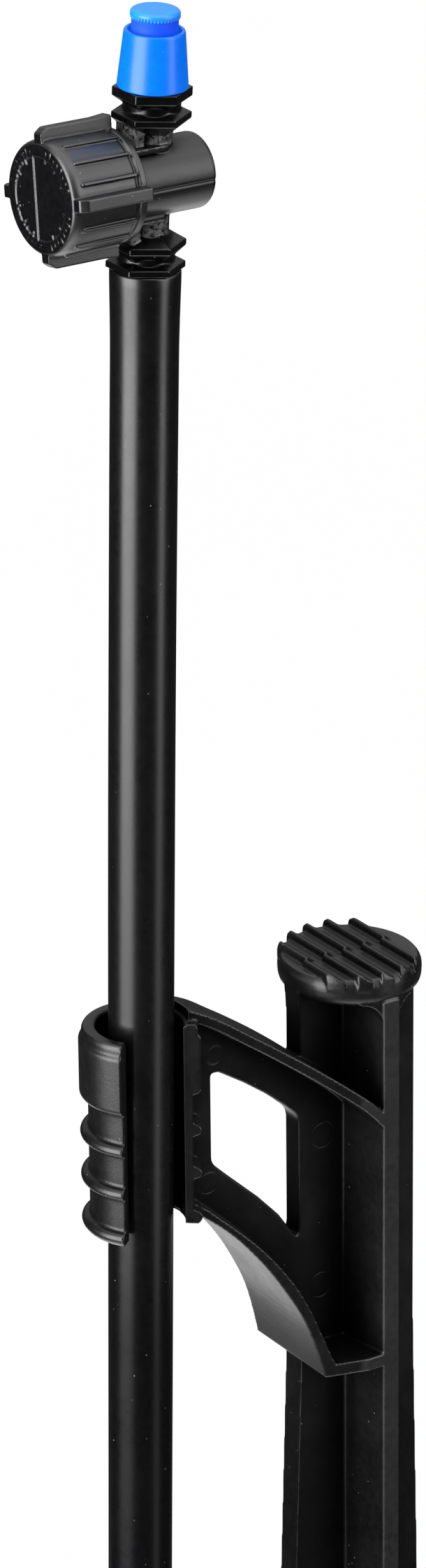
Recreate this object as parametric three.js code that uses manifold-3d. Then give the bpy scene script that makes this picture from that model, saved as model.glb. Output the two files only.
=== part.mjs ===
// Micro-irrigation emitter on a stake: an adjustable nozzle on a quarter-turn valve, pushed into
// a polyethylene riser that is held in the clip of a ground stake.
// Millimetres, +Z up along the riser, origin at the stake's blunt tip. The stake stands on the
// riser's +X side, the knob points to -X and the clip opens to -Y.
// Pieces are drawn about the riser axis, with height zero at the underside of the stake's foot;
// the whole group is then moved so that the stake's tip is the origin.
import * as THREE from "three";
import { mergeVertices } from "three/addons/utils/BufferGeometryUtils.js";
import Module from "manifold-3d";

// ---- Dimensions shared by several pieces
const RISER_ID = 5.6;
const RISER_TOP = 148.2; // mouth of the riser, on its axis
const RISER_BOTTOM = -55.0;
const RISER_BOW = 0.34; // sideways drift of the mouth
const BOW_X = 0.822; // direction of the bow
const BOW_Y = -0.57;

// Valve head: heights are above the riser mouth
const HEAD_LEAN_DEG = 2.33; // the head sits a little crooked in the riser
const HEAD_LEAN_X = 0.464; // horizontal direction of the lean
const HEAD_LEAN_Y = -0.886;
const HEAD_TURN_DEG = 2.1;
const BARREL_H = 10.75; // height of the valve's cross axis
const FLOW_R = 1.3;
const SPIGOT_LEN = 9.5;
const FLANGE_TOP = 21.7;
const HEX_TOP = FLANGE_TOP + 0.05;
const STUD_R = 2.25;

// Stake
const STAKE_X = 31.3;
const STAKE_LEAN = 0.02; // mm towards -X per mm of height
const LEAN_ZERO_Z = 38.6; // middle of the clip
const TIP_Z = -130;
const FIN_Y = 9.0;

const FINISHES = {
  black: { color: 0x101112, roughness: 0.5 },
  stake: { color: 0x101112, roughness: 0.55 },
  tube: { color: 0x121315, roughness: 0.45 },
  plug: { color: 0x1c1e20, roughness: 0.45 },
  rubber: { color: 0x1a1a1a, roughness: 0.7 },
  blue: { color: 0x0a6cf0, roughness: 0.4 },
};

const wasm = await Module();
wasm.setup();

// ---- Frames
const deg = THREE.MathUtils.degToRad;
const matrix4 = () => new THREE.Matrix4();
const shift = (x, y, z) => matrix4().makeTranslation(x, y, z);

// The leaning valve head: Z up its flow axis, origin at the riser mouth
const leanAxis = new THREE.Vector3(-HEAD_LEAN_Y, HEAD_LEAN_X, 0).normalize();
const HEAD_FRAME = shift(RISER_BOW * BOW_X, RISER_BOW * BOW_Y, RISER_TOP)
  .multiply(matrix4().makeRotationAxis(leanAxis, deg(HEAD_LEAN_DEG)))
  .multiply(matrix4().makeRotationZ(deg(HEAD_TURN_DEG)));

// The valve's cross axis, inside the head frame: Z runs along -X from the valve centre
const CROSS_FRAME = shift(0, 0, BARREL_H).multiply(matrix4().makeRotationY(-Math.PI / 2));

// Shears the stake sideways without changing its heights
const STAKE_FRAME = matrix4().set(
  1, 0, -STAKE_LEAN, STAKE_LEAN * LEAN_ZERO_Z,
  0, 1, 0, 0,
  0, 0, 1, 0,
  0, 0, 0, 1,
);

// ---- Solids
// A three.js geometry as a solid, turned right side out
function solid(geometry, matrix) {
  geometry.deleteAttribute("normal");
  geometry.deleteAttribute("uv");
  if (matrix) geometry.applyMatrix4(matrix);
  const merged = mergeVertices(geometry, 1e-4);
  const position = merged.attributes.position;
  const index = merged.index.array;
  const triangles = [];
  const corners = [new THREE.Vector3(), new THREE.Vector3(), new THREE.Vector3()];
  let volume = 0;
  for (let i = 0; i < index.length; i += 3) {
    const ids = [index[i], index[i + 1], index[i + 2]];
    if (new Set(ids).size < 3) continue; // collapsed by the merge
    triangles.push(...ids);
    corners.forEach((corner, k) => corner.fromBufferAttribute(position, ids[k]));
    volume += corners[0].dot(corners[1].cross(corners[2]));
  }
  if (volume < 0) {
    for (let i = 0; i < triangles.length; i += 3) {
      [triangles[i + 1], triangles[i + 2]] = [triangles[i + 2], triangles[i + 1]];
    }
  }
  return new wasm.Manifold(
    new wasm.Mesh({
      numProp: 3,
      vertProperties: new Float32Array(position.array),
      triVerts: new Uint32Array(triangles),
    }),
  );
}

const join = (solids) => solids.reduce((sum, part) => sum.add(part));

// Surface of revolution about Z; profile points are [radius, z]
function lathe(profile, segments) {
  const points = profile.map(([radius, z]) => new THREE.Vector2(radius, z));
  return new THREE.LatheGeometry(points, segments).rotateX(Math.PI / 2);
}
const turned = (profile, segments, matrix) => solid(lathe(profile, segments), matrix);

// Cone or prism about Z; with 6 segments its corners include -Y and +Y
function frustum(bottomR, topR, z0, z1, segments, matrix) {
  const geometry = new THREE.CylinderGeometry(topR, bottomR, z1 - z0, segments);
  geometry.rotateX(Math.PI / 2);
  geometry.translate(0, 0, (z0 + z1) / 2);
  return solid(geometry, matrix);
}
const rod = (radius, z0, z1, segments, matrix) =>
  frustum(radius, radius, z0, z1, segments, matrix);

function box(x0, x1, y0, y1, z0, z1, matrix) {
  const geometry = new THREE.BoxGeometry(x1 - x0, y1 - y0, z1 - z0);
  geometry.translate((x0 + x1) / 2, (y0 + y1) / 2, (z0 + z1) / 2);
  return solid(geometry, matrix);
}

const vectors = (points) => points.map(([x, y]) => new THREE.Vector2(x, y));
const extruded = (points, depth) =>
  new THREE.ExtrudeGeometry(new THREE.Shape(vectors(points)), { depth, bevelEnabled: false });
// Outline in XY, extruded along Z
const slab = (points, z0, z1, matrix) =>
  solid(extruded(points, z1 - z0).translate(0, 0, z0), matrix);
// Outline in XZ, extruded along Y
const plate = (points, y0, y1) =>
  solid(extruded(points, y1 - y0).rotateX(Math.PI / 2).translate(0, y1, 0));

// Torus about Z
function ring(radius, sectionR, z, segments, matrix) {
  const steps = 8;
  const loop = [];
  for (let i = 0; i <= steps; i++) {
    const angle = (i / steps) * 2 * Math.PI;
    loop.push([radius + sectionR * Math.cos(angle), z + sectionR * Math.sin(angle)]);
  }
  return turned(loop, segments, matrix);
}

// ---- Outlines
// Polygon with each corner replaced by a quadratic curve; radius 0 keeps the corner sharp
function rounded(points, radii, steps) {
  const corners = vectors(points);
  const count = corners.length;
  return corners.flatMap((corner, i) => {
    if (!radii[i]) return [[corner.x, corner.y]];
    const back = corners[(i + count - 1) % count].clone().sub(corner);
    const ahead = corners[(i + 1) % count].clone().sub(corner);
    const limit = Math.min(back.length() * 0.49, ahead.length() * 0.49);
    back.normalize();
    ahead.normalize();
    const halfAngle = Math.acos(THREE.MathUtils.clamp(back.dot(ahead), -1, 1)) / 2;
    const setback = Math.min(radii[i] / Math.tan(halfAngle), limit);
    const start = corner.clone().addScaledVector(back, setback);
    const end = corner.clone().addScaledVector(ahead, setback);
    return Array.from({ length: steps + 1 }, (_, k) => {
      const t = k / steps;
      const u = 1 - t;
      return [
        u * u * start.x + 2 * u * t * corner.x + t * t * end.x,
        u * u * start.y + 2 * u * t * corner.y + t * t * end.y,
      ];
    });
  });
}

const curve = (points, steps) =>
  new THREE.SplineCurve(vectors(points)).getPoints(steps).map((point) => [point.x, point.y]);

// The line moved sideways, to the right of its direction of travel
function offsetRight(line, distance) {
  return line.map(([x, z], i) => {
    const [x0, z0] = line[Math.max(0, i - 1)];
    const [x1, z1] = line[Math.min(line.length - 1, i + 1)];
    const length = Math.hypot(x1 - x0, z1 - z0);
    return [x + ((z1 - z0) / length) * distance, z - ((x1 - x0) / length) * distance];
  });
}

// Closed outline about the stake's centre line, from [half width, z] points
const mirrored = (half) => [
  ...half.map(([width, z]) => [STAKE_X - width, z]),
  ...half.map(([width, z]) => [STAKE_X + width, z]).reverse(),
];

// ---- Riser
const RISER_OD = 8.0;
const MOUTH_OD = 8.35; // stretched over the spigot
const BOW_FROM_Z = 60;

function riserTube() {
  const outer = RISER_OD / 2;
  const inner = RISER_ID / 2;
  const mouth = MOUTH_OD / 2;
  const top = RISER_TOP + 1; // trimmed below
  const levels = [BOW_FROM_Z, 90, 110, 125, RISER_TOP - 10]; // stations that let the wall bend
  const geometry = lathe(
    [
      [inner, RISER_BOTTOM], [outer, RISER_BOTTOM],
      ...levels.map((z) => [outer, z]),
      [outer + 0.06, RISER_TOP - 6], [mouth, RISER_TOP - 1.4], [mouth, top], [inner, top],
      ...levels.map((z) => [inner, z]).reverse(),
      [inner, RISER_BOTTOM],
    ],
    44,
  );
  // The free end of the tube is bowed a little
  const position = geometry.attributes.position;
  for (let i = 0; i < position.count; i++) {
    const rise = Math.max(0, (position.getZ(i) - BOW_FROM_Z) / (RISER_TOP - BOW_FROM_Z));
    position.setX(i, position.getX(i) + RISER_BOW * BOW_X * rise * rise);
    position.setY(i, position.getY(i) + RISER_BOW * BOW_Y * rise * rise);
  }
  // Bore and mouth are cut square to the leaning head
  return solid(geometry)
    .subtract(rod(inner, -SPIGOT_LEN - 1, 3, 32, HEAD_FRAME))
    .subtract(box(-8, 8, -8, 8, 0, 4, HEAD_FRAME));
}

// ---- Inlet barb, pressed into the riser's lower end
// [radius, height above the riser's bottom]
const INLET_PROFILE = [
  [0, -12.6], [1.45, -12.6], [1.95, -10.9], [2.1, -10.6], [2.1, -10.3], [1.6, -10.3],
  [1.6, -8.4], [2.1, -6.9], [2.1, -6.6], [1.6, -6.6], [1.6, -1.6],
  [4.3, -1.6], [4.45, -1.4], [4.45, -0.45], [4.3, -0.3], [2.55, -0.3],
  [2.55, 2.6], [2.72, 2.7], [2.72, 3.1], [2.5, 4.4],
  [2.55, 6.0], [2.72, 6.1], [2.72, 6.5], [2.2, 9.0], [0, 9.0],
];
const INLET_BORE_R = 1.0;

function inletBarb() {
  const profile = INLET_PROFILE.map(([radius, z]) => [radius, RISER_BOTTOM + z]);
  const bore = rod(INLET_BORE_R, RISER_BOTTOM - 14, RISER_BOTTOM + 11, 16);
  return turned(profile, 28).subtract(bore);
}

// ---- Valve body
const BARREL_R = 4.45;
const BARREL_END = -6.2; // closed end, towards +X; measured along the cross axis
const SLEEVE_END = 12.0; // open end, inside the knob
const PLUG_BORE_R = 2.6;
const HEX_R = 4.65; // across corners / 2
const HEX_WAIST_R = 3.45;
const HEX_TIP_R = 2.6;
const NECK_R = 2.5;
const SPIGOT_R = 2.5;
const STUD_TOP = 26.1;

// Heights where each double hexagon changes, from its outer face towards the barrel:
// flange end, waist start, waist end, second flange start, second flange end, taper end
const LOWER_HEX_LEVELS = [0.8, 1.35, 1.65, 2.77, 3.45, 4.6];
const UPPER_HEX_LEVELS = [1.12, 1.9, 2.5, 3.05, 3.75, 5.4];

const SPIGOT_PROFILE = [
  [0, -SPIGOT_LEN], [1.95, -SPIGOT_LEN], [2.68, -6.9], [2.68, -6.6],
  [2.4, -6.5], [2.4, -4.6], [SPIGOT_R, -4.5], [SPIGOT_R, 1], [0, 1],
];
const BARREL_PROFILE = [
  [0, BARREL_END], [3.75, BARREL_END], [4.2, BARREL_END + 0.13], [4.45, BARREL_END + 0.4],
  [BARREL_R, BARREL_END + 0.8], [BARREL_R, SLEEVE_END], [0, SLEEVE_END],
];
// Plan outlines in XY
const SHELF_OUTLINE = [
  [-4.3, -2.85], [0.35, -2.85], [0.95, -2.3], [0.95, 2.3], [0.35, 2.85], [-4.3, 2.85],
];
const SADDLE_OUTLINE = [[-0.75, -2.62], [0.85, -2.5], [0.85, 2.5], [-0.75, 2.62]];

// Double hexagon and the supports between it and the barrel
function hexEnd(levels, matrix) {
  const radii = [HEX_R, HEX_WAIST_R, HEX_WAIST_R, HEX_R, HEX_R, HEX_TIP_R];
  const stations = [[HEX_R, 0.05], ...levels.map((z, i) => [radii[i], z])];
  const parts = levels.map((z, i) =>
    frustum(stations[i][0], radii[i], stations[i][1], z, 6, matrix),
  );
  const barrelSide = BARREL_H - BARREL_R;
  parts.push(
    slab(SHELF_OUTLINE, barrelSide + 0.02, barrelSide + 0.72, matrix),
    box(-3.5, -2.3, -2.0, 2.0, 3.3, 7.5, matrix), // leg on the knob side of the neck
    slab(SADDLE_OUTLINE, barrelSide - 1.5, barrelSide + 0.4, matrix),
    box(-2.6, 2.2, -1.4, 1.4, 3.5, 7.4, matrix),
  );
  return parts;
}

function valveBody() {
  const upsideDown = shift(0, 0, HEX_TOP).multiply(matrix4().makeScale(1, 1, -1));
  return join([
    turned(SPIGOT_PROFILE, 28),
    ...hexEnd(LOWER_HEX_LEVELS),
    ...hexEnd(UPPER_HEX_LEVELS, upsideDown),
    rod(NECK_R, 3.6, FLANGE_TOP - 3.6, 28),
    rod(STUD_R, FLANGE_TOP - 0.5, STUD_TOP, 28),
    turned(BARREL_PROFILE, 48, CROSS_FRAME),
  ])
    .subtract(rod(PLUG_BORE_R, -5.0, 20, 32, CROSS_FRAME))
    .subtract(rod(FLOW_R, -SPIGOT_LEN - 1, STUD_TOP + 1, 16));
}

// ---- Valve plug: cross-drilled, keyed to the knob
const PLUG_R = 2.5;
const GROOVE_R = 1.84;
const KEY_HALF = 1.0;
const KEY_CLEARANCE = 0.12;
const ORING_OFFSET = 3.3; // either side of the valve centre
// [radius, distance along the cross axis]
const PLUG_PROFILE = [
  [0, -4.8], [2.3, -4.8], [PLUG_R, -4.6],
  [PLUG_R, -3.75], [GROOVE_R, -3.75], [GROOVE_R, -2.85], [PLUG_R, -2.85],
  [PLUG_R, 2.85], [GROOVE_R, 2.85], [GROOVE_R, 3.75], [PLUG_R, 3.75],
  [PLUG_R, 11.4], [2.3, 11.6], [0, 11.6],
];

// Square bar about the cross axis
const crossBar = (x0, x1, half) =>
  box(x0, x1, -half, half, BARREL_H - half, BARREL_H + half);

const valvePlug = () =>
  turned(PLUG_PROFILE, 28, CROSS_FRAME)
    .add(crossBar(-13.5, -11, KEY_HALF))
    .subtract(rod(FLOW_R, BARREL_H - 5, BARREL_H + 5, 16));

const plugOring = (offset) => ring(2.22, 0.32, offset, 24, CROSS_FRAME);

// ---- Knob, measured from the valve centre along the cross axis
const KNOB_FACE = 15.2;
const KNOB_REAR = 4.9;
const KNOB_R = 6.8;
const KNOB_BORE_R = 5.0;
const KNOB_BORE_END = 12.7;
const EAR_R = 8.15;
const EAR_W = 1.45;
const EAR_PHASE_DEG = 9.5;
const RIB_W = 0.5;
const RIB_ANGLES = [18.5, 40.5, 62.5]; // degrees after the preceding ear
// [radius, distance along the cross axis]
const KNOB_PROFILE = [
  [0, KNOB_REAR], [6.6, KNOB_REAR], [6.6, KNOB_REAR + 0.85],
  [6.45, KNOB_REAR + 0.95], [6.45, KNOB_REAR + 1.3],
  [6.62, KNOB_FACE - 3.0], [6.74, KNOB_FACE - 2.6], [KNOB_R, KNOB_FACE - 1.9],
  [6.79, KNOB_FACE - 1.1], [6.68, KNOB_FACE - 0.62], [6.45, KNOB_FACE - 0.28],
  [6.2, KNOB_FACE - 0.13], [4.9, KNOB_FACE - 0.02], [4.8, KNOB_FACE - 0.14],
  [0, KNOB_FACE - 0.14],
];
// [x, radius]
const EAR_OUTLINE = [
  [-KNOB_REAR - 0.3, 5.6], [-KNOB_REAR - 0.3, EAR_R + 0.15], [-KNOB_REAR - 2.2, EAR_R - 0.05],
  [-KNOB_FACE + 1.1, EAR_R - 0.05], [-KNOB_FACE + 0.2, 7.45], [-KNOB_FACE + 0.2, 5.6],
];
const RIB_OUTLINE = [
  [-KNOB_REAR - 0.6, 6.1], [-KNOB_REAR - 0.6, KNOB_R],
  [-KNOB_FACE + 2.1, KNOB_R], [-KNOB_FACE + 2.1, 6.1],
];

// Plate standing out from the cross axis; angle 0 points to -Y and grows towards +Z
function radialPlate(points, thickness, angle) {
  const turn = matrix4().makeRotationX(Math.PI - deg(angle));
  return slab(points, -thickness / 2, thickness / 2, shift(0, 0, BARREL_H).multiply(turn));
}

function knob() {
  const ear = rounded(EAR_OUTLINE, [0, 0.3, 1.0, 0.7, 0.5, 0], 4);
  const rib = rounded(RIB_OUTLINE, [0, 0.1, 0.5, 0], 3);
  const parts = [turned(KNOB_PROFILE, 48, CROSS_FRAME)];
  for (let i = 0; i < 4; i++) {
    const earAngle = EAR_PHASE_DEG + 90 * i;
    parts.push(radialPlate(ear, EAR_W, earAngle));
    for (const angle of RIB_ANGLES) parts.push(radialPlate(rib, RIB_W, earAngle + angle));
  }
  return join(parts)
    .subtract(rod(KNOB_BORE_R, KNOB_REAR - 2, KNOB_BORE_END, 40, CROSS_FRAME))
    .subtract(crossBar(-13.75, -12, KEY_HALF + KEY_CLEARANCE));
}

// ---- Nozzle
const NOZZLE_BASE_R = 4.1;
const NOZZLE_BORE_R = STUD_R + 0.12;
const RIM_R = 3.525;
const RIM_Z = 28.4;
const CAP_R = 2.925;
const CAP_TOP = 31.1;
const CAP_SIDE = 1.5;
const CAP_EDGE = CAP_TOP - CAP_SIDE - 0.12; // underside of the cap's rim
const CAP_GROOVE_R = 1.38;
const CAP_NOTCHES = 12;

const NOZZLE_PROFILE = [
  [NOZZLE_BORE_R, HEX_TOP], [NOZZLE_BASE_R - 0.12, HEX_TOP], [NOZZLE_BASE_R, HEX_TOP + 0.15],
  [RIM_R + 0.02, RIM_Z - 0.25], [RIM_R - 0.06, RIM_Z], [3.15, RIM_Z], [3.05, RIM_Z - 0.15],
  [2.95, RIM_Z - 0.75], [1.55, RIM_Z - 0.75], [1.55, 26.9], [1.75, 26.45],
  [NOZZLE_BORE_R, 26.45], [NOZZLE_BORE_R, HEX_TOP],
];
const CAP_PROFILE = [
  [0, 26.7], [1.2, 26.7], [CAP_GROOVE_R, 26.9], [CAP_GROOVE_R, 28.05],
  [1.05, 28.1], [1.05, 28.8], [CAP_GROOVE_R, 28.85], [1.5, 28.95], [2.2, 29.05], [2.3, 29.15],
  [2.3, CAP_EDGE], [CAP_R - 0.06, CAP_EDGE], [CAP_R, CAP_EDGE + 0.1],
  [CAP_R, CAP_TOP - 0.42], [CAP_R - 0.1, CAP_TOP - 0.16], [CAP_R - 0.36, CAP_TOP - 0.03],
  [CAP_R - 0.6, CAP_TOP], [0, CAP_TOP],
];

function nozzleCap() {
  let cap = turned(CAP_PROFILE, 36);
  for (let i = 0; i < CAP_NOTCHES; i++) {
    const turn = matrix4().makeRotationZ(deg((360 / CAP_NOTCHES) * i + 8));
    cap = cap.subtract(box(2.2, 3.4, -0.28, 0.28, CAP_EDGE - 0.3, CAP_EDGE + 0.42, turn));
  }
  return cap;
}

// ---- Stake shaft and head
const WEB_HALF = 8.68;
const WEB_T = 3.5;
const FIN_ROOT = 2.1; // half thickness
const FIN_TIP = 1.17;
const FIN_TOP = 50.6;
const FILLET_R = 2.6;
const FILLET_TOP = 50.35;
const HEAD_Z = 53.5;
const HEAD_R = 8.95;
const RIDGE_PITCH = 2.93;
const RIDGE_H = 0.62;
const RIDGE_OFFSET = -0.58; // middle ridge from the stake's centre

// [half width, z]
const WEB_HALF_OUTLINE = [
  [WEB_HALF, 49.5], [WEB_HALF, 2], [9.45, -36], [9.75, -58], [9.0, -80], [0.6, TIP_Z],
];
const FLARE_HALF_OUTLINE = [[WEB_HALF, 48.0], [8.9, 51.2]];
const SHAFT_ENVELOPE = [
  [0, TIP_Z - 1], [0.9, TIP_Z - 1], [0.9, TIP_Z], [1.3, TIP_Z + 1.6],
  [10.2, -76], [10.6, -60], [10.6, 52], [0, 52],
];
const HEAD_PROFILE = [
  [0, 50.25], [7.7, 50.25], [8.35, 50.4], [8.75, 50.85], [8.9, 51.4], [HEAD_R, 52.2],
  [HEAD_R - 0.03, 52.8], [HEAD_R - 0.2, 53.25], [HEAD_R - 0.6, HEAD_Z], [0, HEAD_Z],
];
const GRIP_ENVELOPE = [
  [0, 51.3], [9.0, 51.3], [9.25, 51.7], [9.25, HEAD_Z + 0.05],
  [9.0, HEAD_Z + 0.45], [8.5, HEAD_Z + 0.75], [0, HEAD_Z + 0.75],
];
// [x from the ridge's centre, z]
const RIDGE_OUTLINE = [
  [-0.62, 51.0], [-0.62, HEAD_Z], [-0.5, HEAD_Z + 0.28], [-0.28, HEAD_Z + 0.52],
  [0, HEAD_Z + RIDGE_H], [0.3, HEAD_Z + 0.52], [0.62, HEAD_Z + 0.3], [0.95, HEAD_Z],
  [0.7, HEAD_Z - 0.4], [0.7, 51.0],
];
// The ridges' two halves, offset at the parting line: [y start, y end, x offset]
const RIDGE_HALVES = [[-9.6, 0.05, -0.12], [-0.05, 9.6, 0.14]];

const turnedOnStake = (profile, segments) => turned(profile, segments, shift(STAKE_X, 0, 0));

// Cross of a web plate and two fins, inside an envelope that narrows to the tip
function stakeShaft() {
  const web = plate(mirrored(WEB_HALF_OUTLINE), -WEB_T / 2, WEB_T / 2);
  const fins = slab(
    [
      [STAKE_X - FIN_TIP, -FIN_Y], [STAKE_X + FIN_TIP, -FIN_Y],
      [STAKE_X + FIN_ROOT, -WEB_T / 2], [STAKE_X + FIN_ROOT, WEB_T / 2],
      [STAKE_X + FIN_TIP, FIN_Y], [STAKE_X - FIN_TIP, FIN_Y],
      [STAKE_X - FIN_ROOT, WEB_T / 2], [STAKE_X - FIN_ROOT, -WEB_T / 2],
    ],
    TIP_Z,
    FIN_TOP,
  );
  return web.add(fins).intersect(turnedOnStake(SHAFT_ENVELOPE, 24));
}

// Fillet between the fins and the head; side is -1 or 1 along X
function finFillet(side) {
  const at = (offset, z) => [STAKE_X + side * offset, z];
  const steps = 6;
  const points = [at(-1.0, FIN_TOP), at(FIN_TIP + 2.9, FIN_TOP)];
  for (let i = 0; i <= steps; i++) {
    const angle = (i / steps) * (Math.PI / 2);
    points.push(
      at(
        FIN_TIP + 0.05 + FILLET_R * (1 - Math.sin(angle)),
        FILLET_TOP - FILLET_R * (1 - Math.cos(angle)),
      ),
    );
  }
  points.push(at(-1.0, FILLET_TOP - FILLET_R));
  return plate(points, -8.0, 8.0);
}

function gripRidges() {
  const ridges = [];
  for (const [y0, y1, jog] of RIDGE_HALVES) {
    for (let i = -2; i <= 2; i++) {
      const centre = STAKE_X + RIDGE_OFFSET + RIDGE_PITCH * i + jog;
      ridges.push(plate(RIDGE_OUTLINE.map(([x, z]) => [centre + x, z]), y0, y1));
    }
  }
  return join(ridges).intersect(turnedOnStake(GRIP_ENVELOPE, 32));
}

// ---- Stake arm and clip
const ARM_T = 3.0;
const ARM_START_X = 4.6;
const ARM_START_HALF = 2.536; // half width at the clip
const FLANGE_T = 1.35;
const CLIP_TOP = 52.3;
const CLIP_BOTTOM = 25.2;
const CLIP_IN = 5.3;
const CLIP_WALL = 6.4;
const CLIP_OUT = 7.45;
const CLIP_BAND_Z = 43.1;
const CLIP_RIB_Z = [26.15, 32.15, 38.0];
const CLIP_OPEN_DEG = 52; // half angle of the opening

// Arm outlines, [x, z]
const ARM_TOP_POINTS = [
  [ARM_START_X, 54.0], [6.9, 53.0], [9.7, 51.45], [13.2, 49.0],
  [16.2, 46.9], [21.8, 42.75], [28.0, 37.7], [31.0, 34.5],
];
const ARM_UNDER_POINTS = [
  [ARM_START_X, 26.6], [7.0, 25.1], [10.75, 21.8], [14.4, 17.3],
  [17.1, 13.1], [19.45, 8.7], [21.0, 4.4], [22.2, 0.0],
];
const LOWER_FLANGE_INSIDE_POINTS = [
  [23.1, 2.75], [21.6, 6.75], [20.1, 10.5], [17.8, 14.75], [14.05, 19.75], [8.1, 25.6],
  [5.6, 27.6],
];
// [x, z, corner radius]
const WINDOW_CORNERS = [
  [9.35, 31.3, 2.2], [9.35, 43.6, 1.3], [10.6, 43.4, 0.8], [14.33, 40.95, 0],
  [17.45, 38.65, 0], [20.07, 36.45, 0], [22.62, 34.05, 1.6], [22.62, 17.0, 0.7],
  [21.3, 18.55, 0], [19.4, 21.3, 0], [16.26, 24.7, 0], [11.6, 29.1, 2.0],
];
// Section of a rib around the clip: [z from its middle, height above the wall]
const CLIP_RIB_SECTION = [
  [-0.85, 0], [-0.75, 0.5], [-0.42, 0.92], [0, 1.05], [0.42, 0.92], [0.75, 0.5], [0.85, 0],
];

// Web with a window, a curved flange above and below, and a foot
function stakeArm() {
  const top = curve(ARM_TOP_POINTS, 14);
  const under = curve(ARM_UNDER_POINTS, 14);
  const plan = slab(
    [
      [ARM_START_X, -ARM_START_HALF], [27.69, -FIN_Y], [STAKE_X, -FIN_Y],
      [STAKE_X, FIN_Y], [27.69, FIN_Y], [ARM_START_X, ARM_START_HALF],
    ],
    -1,
    60,
  );
  const upper = plate([...top, ...offsetRight(top, FLANGE_T).reverse()], -FIN_Y, FIN_Y);
  const inside = curve(LOWER_FLANGE_INSIDE_POINTS, 13);
  const lower = plate([...under, [24.2, 0.0], [23.6, 1.7], ...inside], -FIN_Y, FIN_Y);
  const foot = box(22.2, STAKE_X, -FIN_Y, FIN_Y, 0, 1.65);
  const web = plate([...top, [31.0, 0.5], ...under.reverse()], -ARM_T / 2, ARM_T / 2);
  const radii = WINDOW_CORNERS.map((corner) => corner[2]);
  return join([upper, lower, foot])
    .intersect(plan)
    .add(web)
    .subtract(plate(rounded(WINDOW_CORNERS, radii, 5), -3, 3))
    .subtract(rod(CLIP_WALL - 0.5, 20, 60, 48)); // clears the inside of the clip
}

function stakeClip() {
  const ribs = CLIP_RIB_Z.flatMap((z) => CLIP_RIB_SECTION.map(([u, v]) => [CLIP_WALL + v, z + u]));
  const profile = [
    [CLIP_IN, CLIP_BOTTOM], [CLIP_OUT - 0.55, CLIP_BOTTOM],
    ...ribs.slice(2), // the lowest rib runs straight into the bottom edge
    [CLIP_WALL, CLIP_BAND_Z - 0.35], [CLIP_OUT - 0.35, CLIP_BAND_Z - 0.1],
    [CLIP_OUT, CLIP_BAND_Z + 0.4], [CLIP_OUT, CLIP_TOP - 0.4],
    [CLIP_OUT - 0.35, CLIP_TOP - 0.06], [CLIP_OUT - 0.6, CLIP_TOP],
    [CLIP_IN + 0.3, CLIP_TOP], [CLIP_IN, CLIP_TOP - 0.25], [CLIP_IN, CLIP_BOTTOM],
  ];
  const gripRib = [
    [0, CLIP_BOTTOM + 0.6], [0.5, CLIP_BOTTOM + 0.6], [0.5, CLIP_TOP - 1.9],
    [0.3, CLIP_TOP - 1.5], [0, CLIP_TOP - 1.4],
  ];
  let clip = turned(profile, 48);
  // Upright ribs inside, along the riser
  for (const angle of [0, 60, 120, 180]) {
    const place = matrix4().makeRotationZ(deg(angle)).multiply(shift(CLIP_IN + 0.05, 0, 0));
    clip = clip.add(turned(gripRib, 10, place));
  }
  const x = 14 * Math.sin(deg(CLIP_OPEN_DEG));
  const y = -14 * Math.cos(deg(CLIP_OPEN_DEG));
  return clip.subtract(slab([[0, 0], [-x, y], [-14, -16], [14, -16], [x, y]], 20, 56));
}

const stake = () =>
  join([
    stakeShaft(),
    turnedOnStake(HEAD_PROFILE, 44),
    plate(mirrored(FLARE_HALF_OUTLINE), -WEB_T / 2, WEB_T / 2), // web flares to the head rim
    finFillet(-1),
    finFillet(1),
    gripRidges(),
    stakeArm(),
    stakeClip(),
  ]);

// ---- Assembly
const root = new THREE.Group();
const assembly = new THREE.Group();
assembly.position.set(-(STAKE_X + STAKE_LEAN * (LEAN_ZERO_Z - TIP_Z)), 0, -TIP_Z);
root.add(assembly);

function addPiece(name, body, finish, matrix) {
  const { vertProperties, triVerts } = body.getMesh();
  const geometry = new THREE.BufferGeometry();
  const position = new THREE.BufferAttribute(new Float32Array(vertProperties), 3);
  geometry.setAttribute("position", position);
  geometry.setIndex(new THREE.BufferAttribute(new Uint32Array(triVerts), 1));
  if (matrix) geometry.applyMatrix4(matrix);
  geometry.computeVertexNormals();
  const mesh = new THREE.Mesh(geometry, new THREE.MeshStandardMaterial(finish));
  mesh.name = name;
  assembly.add(mesh);
}

const { black, tube, plug, rubber, blue } = FINISHES;
addPiece("riser_tube", riserTube(), tube);
addPiece("inlet_barb", inletBarb(), black);
addPiece("valve_body", valveBody(), black, HEAD_FRAME);
addPiece("valve_plug", valvePlug(), plug, HEAD_FRAME);
addPiece("plug_oring_rear", plugOring(-ORING_OFFSET), rubber, HEAD_FRAME);
addPiece("plug_oring_front", plugOring(ORING_OFFSET), rubber, HEAD_FRAME);
addPiece("knob", knob(), black, HEAD_FRAME);
addPiece("nozzle_body", turned(NOZZLE_PROFILE, 40), blue, HEAD_FRAME);
addPiece("nozzle_cap", nozzleCap(), blue, HEAD_FRAME);
addPiece("cap_oring", ring(CAP_GROOVE_R, 0.3, 28.45, 20), rubber, HEAD_FRAME);
addPiece("stake", stake(), FINISHES.stake, STAKE_FRAME);

export default root;
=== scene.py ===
"""A drip emitter on a garden stake.

A riser tube stands at the left (-X) and carries a small valve with a knob facing -X and a
blue nozzle and cap on top. The stake stands to its right (+X) and holds the tube with an arm
and a clip. -Y is the front, +Z is up, and the stake's tip is at z = 0.
Pieces are modelled in mm about the riser axis and brought to metres by TO_WORLD.
"""
import math
from types import SimpleNamespace

import bpy
import numpy as np
from mathutils import Matrix, Vector


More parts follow.
